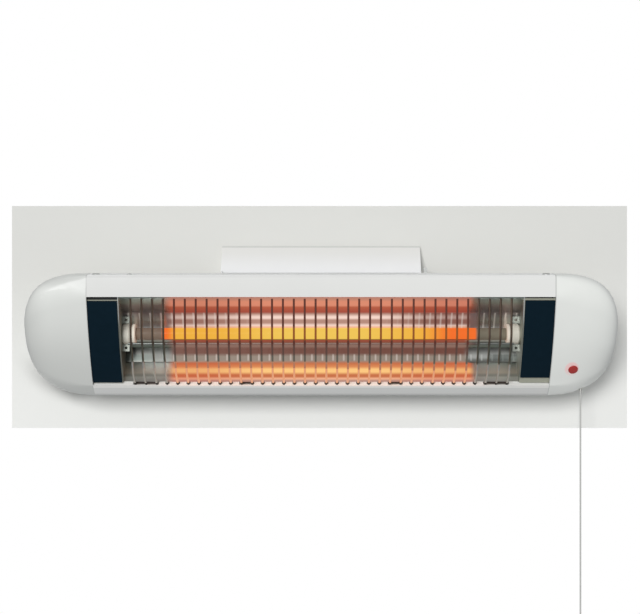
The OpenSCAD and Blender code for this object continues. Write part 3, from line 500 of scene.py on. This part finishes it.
wire_metal = Finish("plated_wire", Metallic=1.0)
x, y, z = wire_metal.place()
by_coil = abs(x).fall(0.143, 0.146)
bend = z + 0.0080 + 0.0025 * x.step(-0.04, 0.10)
upper_run = bend.step(-0.0726, -0.0690)
glint = bend.band(-0.0772, -0.0756, -0.0716, -0.0702)
below_tube = z.fall(-0.0640, -0.0600)
# Painted shade where the wires go into the lip.
lip_shade = z.fall(-0.0998, -0.0992)
shaded = wire_metal.mix(below_tube, (0.15, 0.115, 0.09), (0.15, 0.155, 0.125))
shaded = wire_metal.mix(by_coil, shaded, (0.075, 0.06, 0.055))
tone = wire_metal.mix(by_coil, (0.72, 0.68, 0.60), (0.46, 0.42, 0.38))
tone = wire_metal.mix(upper_run, tone, shaded)
tone = wire_metal.mix(glint, tone, wire_metal.mix(by_coil, (0.60, 0.59, 0.57), (0.20, 0.18, 0.16)))
wire_metal.set("Base Color", wire_metal.mix(lip_shade, tone, (0.03, 0.025, 0.02)))
wire_metal.set("Roughness", 0.34 + 0.1 * wire_metal.noise(0.0015, 3, (1, 1, 6)))
warm = wire_metal.mix(below_tube, (0.075, 0.014, 0.008), (0.075, 0.036, 0.028))
warm = wire_metal.mix(z.step(-0.0730, -0.0705), (0.085, 0.085, 0.070), warm)
warm = wire_metal.mix(upper_run, (0.55, 0.18, 0.045), warm)
warm = wire_metal.mix(glint, warm, (0.34, 0.11, 0.05))
over_tube = z.band(-0.0588, -0.0560, -0.0470, -0.0440) * by_coil
warm = wire_metal.mix(over_tube, warm, (0.24, 0.065, 0.004))
wire_metal.shine(wire_metal.mix(by_coil * (1 - lip_shade), BLACK, warm))

# The rod is painted darker by the coil, where it gives off a painted glow of the coil's light; past the coil
# it is bare metal.
rod_metal = Finish("rod_wire", Metallic=1.0, Roughness=0.4)
x, y, z = rod_metal.place()
tone = rod_metal.mix(rod_metal.noise(0.002, 3), (0.06, 0.055, 0.05), (0.10, 0.09, 0.085))
rod_metal.set("Base Color", rod_metal.mix(abs(x).step(0.145, 0.150), tone, (0.20, 0.21, 0.195)))
rod_metal.shine(rod_metal.mix(abs(x).fall(COIL_END - 0.02, COIL_END), BLACK, (0.17, 0.09, 0.07)))

# %% [markdown]
# The reflector is folded into five facets, and each mirrors the glowing tube as one lengthwise band. A mirror
# finish alone would need the tube's true brightness. But which band a facet shows depends on its tilt, so the
# bands are painted reflections, placed by height: a ramp runs down the sheet, from its upper edge to the
# rail's lip, through a few tones of the glow. Past the coil's ends the bare sheet shows, with a ramp of
# painted reflections of its own. Its upright facet, below the tube, faces the room, and its painted
# reflection is lighter on the right.

# %% Reflector
SHEET_TOP, SHEET_LOW = -0.0174, -0.0982      # heights of the reflector's two edges
STREAK_PITCH = 0.01053                       # distance from one wire's reflection to the next

SALMON, BRICK, RUST = (0.66, 0.23, 0.15), (0.42, 0.085, 0.045), (0.34, 0.05, 0.03)
BLUSH, MAUVE, PEACH = (0.92, 0.68, 0.59), (0.46, 0.26, 0.21), (0.90, 0.46, 0.28)
MAROON, ASH, COPPER = (0.15, 0.055, 0.04), (0.27, 0.215, 0.175), (0.46, 0.20, 0.15)
EARTH, CLAY = (0.20, 0.065, 0.04), (0.25, 0.145, 0.115)
EMBER, ORANGE, AMBER = (0.58, 0.17, 0.07), (0.72, 0.26, 0.10), (0.98, 0.58, 0.22)

# Painted reflections of the glowing tube: each tone has its depth below the bracket's middle
BANDS = [(0.0185, COPPER), (0.0210, SALMON), (0.0245, SALMON), (0.0262, BRICK), (0.0308, RUST),
         (0.0327, MAUVE), (0.0354, BLUSH), (0.0367, BLUSH), (0.0386, MAUVE), (0.0414, MAUVE),
         (0.0438, BLUSH), (0.0456, PEACH), (0.0570, BRICK), (0.0612, EARTH), (0.0632, CLAY),
         (0.0650, CLAY), (0.0668, MAROON), (0.0712, MAROON), (0.0745, ASH), (0.0785, ASH),
         (0.0815, EMBER), (0.0845, ORANGE), (0.0868, AMBER), (0.0893, AMBER), (0.0920, EMBER),
         (0.0938, EMBER), (0.0956, PEACH), (0.0976, MAUVE)]

# The same for the bare sheet's painted reflections, without the glow
BARE_SHEET_REFLECTIONS = [(0.0180, (0.36, 0.42, 0.41)), (0.0220, (0.42, 0.44, 0.39)), (0.0245, (0.46, 0.40, 0.38)),
        (0.0320, (0.40, 0.34, 0.35)), (0.0350, (0.64, 0.64, 0.66)), (0.0375, (0.78, 0.80, 0.80)),
        (0.0410, (0.78, 0.80, 0.78)), (0.0430, (0.72, 0.72, 0.72)), (0.0585, (0.66, 0.64, 0.56)),
        (0.0610, (0.25, 0.28, 0.25)), (0.0650, (0.34, 0.39, 0.34)), (0.0805, (0.55, 0.64, 0.60)),
        (0.0870, (0.82, 0.80, 0.72)), (0.0900, (0.90, 0.86, 0.76)), (0.0925, (0.62, 0.64, 0.58)),
        (0.0945, (0.95, 0.98, 0.92)), (0.0968, (0.85, 0.86, 0.82))]

reflector = Finish("rolled_aluminium", Metallic=1.0)
x, y, z = reflector.place()
grain = reflector.noise(0.0009, 3, (60, 1, 1))
reflector.set("Roughness", 0.3 + 0.14 * grain)
reflector.bump(grain, 0.000006)
down = (z * -1 + SHEET_TOP) / (SHEET_TOP - SHEET_LOW)


def ramp(tones):
    """A ramp down the sheet, through tones at their depths below the bracket's middle."""
    stops = [((depth + SHEET_TOP) / (SHEET_TOP - SHEET_LOW), tone) for depth, tone in tones]
    return reflector.add("ShaderNodeValToRGB", {"stops": stops}, {0: down})


# Heights on the sheet
pale = z.band(-0.0480, -0.0470, -0.0325, -0.0310)         # the light bands above the tube
upright = z.band(-0.0815, -0.0798, -0.0665, -0.0645)      # the facet that faces the room
grey = z.band(-0.0795, -0.0775, -0.0735, -0.0715)         # the ashen band on it
low = z.fall(-0.0812, -0.0798)                            # the facet below it

# Places along the sheet
right = x.step(-0.05, 0.05)
lit = x.step(-0.151, -0.141) - (x - 0.005 * low).step(0.139, 0.146)     # between the coil's ends
coil_end = abs(x).fall(0.148, 0.154)                                    # a little further out
reflected = (x + (x * 0.0128 + 0.0038)) / STREAK_PITCH
streak = reflected.from_middle().fall(0.02, 0.13)                       # the reflection of a wire

# Painted reflection of the room on the upright facet, lighter on the right, with painted wire streaks and
# darker far ends.
facing = reflector.mix(right, (0.105, 0.107, 0.100), (0.30, 0.31, 0.295))
facing_top = reflector.mix(right, (0.034, 0.036, 0.033), (0.085, 0.088, 0.083))
facing = reflector.mix(z.step(-0.0745, -0.0670), facing, facing_top)
facing = reflector.mix(z.step(-0.0786, -0.0750), (0.12, 0.125, 0.115), facing)
facing_streak = reflector.mix(right, (0.20, 0.21, 0.20), (0.50, 0.52, 0.49))
facing = reflector.mix(streak * grey * 0.5, facing, facing_streak)
facing = reflector.mix(abs(x).step(0.160, 0.171) * grey * 0.65, facing, (0.075, 0.09, 0.082))
# Painted shade low on the left, and in the pale bands by the coil's ends.
low_left = z.fall(-0.0805, -0.0795) * x.fall(-0.15, 0.15)
bare = reflector.mix(low_left * 0.22 + pale * coil_end * 0.9, ramp(BARE_SHEET_REFLECTIONS), BLACK)
# Painted reflections of the wires, as pale streaks past the coil.
bare = reflector.mix(streak * pale * (1 - coil_end) * 0.6, bare, (1.0, 0.98, 0.95))
bare = reflector.mix(upright, bare, facing)
reflector.set("Base Color", reflector.mix(lit, bare, (0.018, 0.016, 0.014)))

# %% [markdown]
# The glow on the sheet is painted light that it gives off. Towards its ends the coil's painted light on the
# sheet is weaker, above all in the pale bands. There the guard's wires show in the sheet as painted pale
# upright streaks. Only the sheet's front gives off the painted glow.

# %% Glow on the reflector
outward = abs(x).step(0.05, 0.12)
by_tube = z.fall(-0.0440, -0.0425)           # the narrow band right above the tube
less = 0.16 * z.step(-0.048, -0.047) + (0.24 + 0.22 * right) * pale * (1 - 0.8 * by_tube)
glow = reflector.mix(outward * less, ramp(BANDS), (0.10, 0.015, 0.010))
glow = reflector.mix(outward * 0.3 * low, glow, (0.55, 0.06, 0.03))
glow = reflector.mix(streak * (pale * 0.35 * outward + grey * 0.4), glow, (0.80, 0.70, 0.64))
normal = reflector.add("ShaderNodeTexCoord", output="Normal")
front = reflector.add("ShaderNodeSeparateXYZ", inputs={0: normal}, output=1).fall(-0.15, 0.15)
painted_light_past_coil = reflector.mix(pale * coil_end * front, BLACK, (0.12, 0.09, 0.085))
painted_light_past_coil = reflector.mix(streak * pale * (1 - coil_end) * front, painted_light_past_coil, (0.12, 0.11, 0.10))
reflector.shine(reflector.mix(lit * front, painted_light_past_coil, glow))

# %% [markdown]
# The coil glows inside a quartz tube. In the photograph its light fills the tube, so that no turn can be told
# from the next. Clear glass round a bright coil would show the turns, so the tube itself gives off the glow:
# yellowest in the middle of its length, redder at its ends, dark along its foot, and grey past the coil.

# %% Quartz and coil
tube = Finish("glowing_quartz", Roughness=0.22, Specular_IOR_Level=0.06)
x, y, z = tube.place()
heated = x.band(-0.1545, -0.1505, 0.1480, 0.1510)
cold = tube.mix(x.step(-0.05, 0.05), (0.25, 0.20, 0.155), (0.215, 0.21, 0.16))
tube.set("Base Color", tube.mix(heated, cold, (0.03, 0.02, 0.015)))
glow = tube.mix(abs(x).step(0.03, 0.11), (0.85, 0.55, 0.09), (0.85, 0.43, 0.045))
away_from_ends = x.band(-0.150, -0.138, 0.092, 0.128)
glow = tube.mix(away_from_ends, (0.88, 0.15, 0.018), glow)
above_foot = z.step(-0.0578, -0.0564)
tube.shine(tube.mix(heated * above_foot, (0.02, 0.006, 0.002), glow))

coil = Finish("glowing_wire", Roughness=0.5)
coil.set("Base Color", (0.2, 0.12, 0.08))
wound = abs(coil.place()[0]).fall(COIL_END, COIL_END + 0.004)
coil.shine(coil.mix(wound, BLACK, (1.0, 0.6, 0.15)), 1.2)

# %% [markdown]
# The tube's holders are unglazed ceramic, cream and matt. Rubber, nylon and the mouldings inside are matt as
# well, so one recipe serves them all, with a tone, a roughness and the size of the grain for each. The lens
# is the only glossy one, under a clear coat.

# %% Ceramic, rubber and small mouldings
def dull(name, colour, roughness, size=0.001, depth=0.00001):
    """A matt material with a fine grain."""
    stuff = Finish(name)
    grain = stuff.noise(size, 3)
    stuff.set("Base Color", stuff.mix(grain, shade(colour, 0.95), shade(colour, 1.05)))
    stuff.set("Roughness", roughness + 0.1 * grain)
    stuff.bump(grain, depth)
    return stuff


ceramic = dull("steatite", (0.84, 0.81, 0.70), 0.5, 0.0008)
inner_face = abs(ceramic.place()[0]).fall(0.1805, 0.1815)
ceramic.shine(ceramic.mix(inner_face, BLACK, (0.11, 0.06, 0.04)))
rubber = dull("black_rubber", (0.02, 0.02, 0.02), 0.6)
fibre = dull("pale_nylon", (0.62, 0.61, 0.54), 0.45)
knob_moulding = dull("grained_moulding", (0.60, 0.61, 0.59), 0.4, 0.0006, 0.00003)
cream_moulding = dull("cream_moulding", (0.70, 0.66, 0.54), 0.4)
phenolic = dull("brown_phenolic", (0.03, 0.024, 0.02), 0.4)
sleeve = dull("glass_sleeve", (0.5, 0.5, 0.48), 0.7, 0.0006, 0.00004)
lamp_shell = dull("lamp_shell", (0.6, 0.57, 0.5), 0.4)

lens = Finish("red_lens", Roughness=0.16, Coat_Weight=0.5, Coat_Roughness=0.05)
lens.set("Base Color", lens.mix(lens.noise(0.002, 2), (0.36, 0.016, 0.012), (0.45, 0.022, 0.018)))

# %% [markdown]
# The braid of the cord is too fine for geometry, so two waves that cross give it a bump and a slight
# darkening between the strands.

# %% Braid
BRAID_PITCH = 0.0022                         # height of one turn of a strand's wave
braid = Finish("white_braid", Roughness=0.8)
x, y, z = braid.place()
around = (y - CORD_Y).angle_over(x - CORD_X)


def strands(turn):
    """One set of strands, which climb round the cord in the given sense."""
    return (z * (2 * pi / BRAID_PITCH) + around * turn).sine()


weave = abs(strands(2) * strands(-2))
braid.set("Base Color", braid.mix(weave, (0.48, 0.48, 0.46), (0.64, 0.64, 0.61)))
braid.bump(weave, 0.0001)

# %% [markdown]
# ## Dressing the pieces
#
# Each piece gets the finish of its material slot. A few share a slot with others but differ in the
# photograph, and have their own.

# %% Give each piece its finish
FINISH_OF_SLOT = {
    "casing_paint": paint, "bracket_paint": hood_paint, "cap_plastic": moulding, "frame_steel": sheet_steel,
    "reflector_aluminium": reflector, "dark_panel": dark, "guard_wire": wire_metal, "quartz": tube,
    "coil": coil, "ceramic": ceramic, "clip_steel": spring_metal, "screw_steel": screw_metal,
    "hinge_steel": pin_metal, "washer_fibre": fibre, "knob_plastic": knob_moulding,
    "grommet_rubber": rubber, "lens_red": lens, "lamp_body": lamp_shell, "terminal_plastic": cream_moulding,
    "cutout_case": phenolic, "wire_sleeve": sleeve, "switch_plastic": cream_moulding,
    "spring_steel": spring_metal, "bush_plastic": fibre, "plunger_plastic": cream_moulding,
    "brass": ball_brass, "cord_fabric": braid, "cord_knob_plastic": moulding,
}
OWN_FINISH = {
    "bottom_rail": rail_paint, "cross_rod": rod_metal, "left_reflector_end": end_sheet,
    "right_reflector_end": end_sheet, "left_end_frame": frame_sheet, "right_end_frame": frame_sheet,
}
for node, piece in shown.items():
    piece.data.materials.clear()
    piece.data.materials.append(OWN_FINISH.get(node, FINISH_OF_SLOT[SLOT_OF[node]]).material)
print("finishes:", len(set(SLOT_OF.values())))

# %% [markdown]
# ## Wall, light and background
#
# The photograph is a strip of wall on a white page. A card stands for the strip, so that the heater's shadow
# falls on it, and only the camera sees the white round it. The card has a front only, so that it doesn't hide
# the heater's back, and light reaches the plate that lies against it. Its paint is darker low beside the left
# cap, where the photograph has a soft shadow from a second light.

# %% Wall card
WALL_Y = 0.0006

# The strip's corners and the left cap's outline, in the photograph's pixels
STRIP = (12, 428), (627, 428), (627, 206), (12, 206)
CAP_MIDDLE, CAP_SIDE, CAP_FOOT = (85, 335), (24, 335), (85, 392)

wall_paint = Finish("wall_paint", Roughness=0.8)
x, y, z = wall_paint.place()
middle, side, foot = [point_seen_at(*pixel, WALL_Y) for pixel in (CAP_MIDDLE, CAP_SIDE, CAP_FOOT)]
out_x, out_z = (x - middle.x) / (middle.x - side.x), (z - middle.z) / (middle.z - foot.z)
near_cap = (out_x * out_x + out_z * out_z).root().fall(0.96, 1.38)
shadow = near_cap * near_cap * z.fall(middle.z - 0.060, middle.z - 0.012) * x.fall(-0.250, -0.226)
# Painted light: the card's paint is lighter towards the bottom.
plain = wall_paint.mix(z.step(-0.12, 0.04), (0.885, 0.885, 0.855), (0.745, 0.742, 0.708))
wall_paint.set("Base Color", wall_paint.mix(shadow * 0.52, plain, (0.02, 0.02, 0.02)))
facing_away = wall_paint.add("ShaderNodeNewGeometry", output="Backfacing")
ray_length = wall_paint.add("ShaderNodeLightPath", output="Ray Length")
wall_paint.set("Alpha", (1 - facing_away) * ray_length.step(0.001, 0.002))

form = bmesh.new()
form.faces.new([form.verts.new(point_seen_at(*pixel, WALL_Y)) for pixel in STRIP])
card_mesh = bpy.data.meshes.new("wall_card")
form.to_mesh(card_mesh)
form.free()
wall_card = bpy.data.objects.new("wall_card", card_mesh)
bpy.context.scene.collection.objects.link(wall_card)
card_mesh.materials.append(wall_paint.material)

# %% [markdown]
# The room lights the heater evenly, and one large lamp, high on the left behind the camera, gives the soft
# shadows. The page's white is a second background, which only the camera's own rays reach, so it doesn't
# light the heater.

# %% World and lamp
ROOM_TONE, ROOM_STRENGTH = (0.80, 0.82, 0.84, 1), 0.48        # the even light of the room
PAGE_TONE, PAGE_STRENGTH = (1, 1, 1, 1), 1.0                  # the white page, seen by the camera only
LAMP_AT, LAMP_TARGET = Vector((-3.3, -11.6, 3.25)), Vector((0, 0, -0.05))
LAMP_SIZE, LAMP_POWER = 4.7, 960

world = bpy.data.worlds.new("room")
bpy.context.scene.world = world
world.use_nodes = True
sky = world.node_tree
background = sky.nodes["Background"]
page = sky.nodes.new("ShaderNodeBackground")
for shader, tone, strength in (background, ROOM_TONE, ROOM_STRENGTH), (page, PAGE_TONE, PAGE_STRENGTH):
    shader.inputs["Color"].default_value = tone
    shader.inputs["Strength"].default_value = strength
path = sky.nodes.new("ShaderNodeLightPath")
either = sky.nodes.new("ShaderNodeMixShader")
sky.links.new(path.outputs["Is Camera Ray"], either.inputs[0])
sky.links.new(background.outputs[0], either.inputs[1])
sky.links.new(page.outputs[0], either.inputs[2])
sky.links.new(either.outputs[0], sky.nodes["World Output"].inputs["Surface"])

lamp = bpy.data.objects.new("key", bpy.data.lights.new("key", "AREA"))
bpy.context.scene.collection.objects.link(lamp)
lamp.data.size, lamp.data.energy = LAMP_SIZE, LAMP_POWER
lamp.location = LAMP_AT
lamp.rotation_euler = (LAMP_TARGET - LAMP_AT).to_track_quat("-Z", "Y").to_euler()

bpy.context.scene.view_settings.view_transform = "Standard"
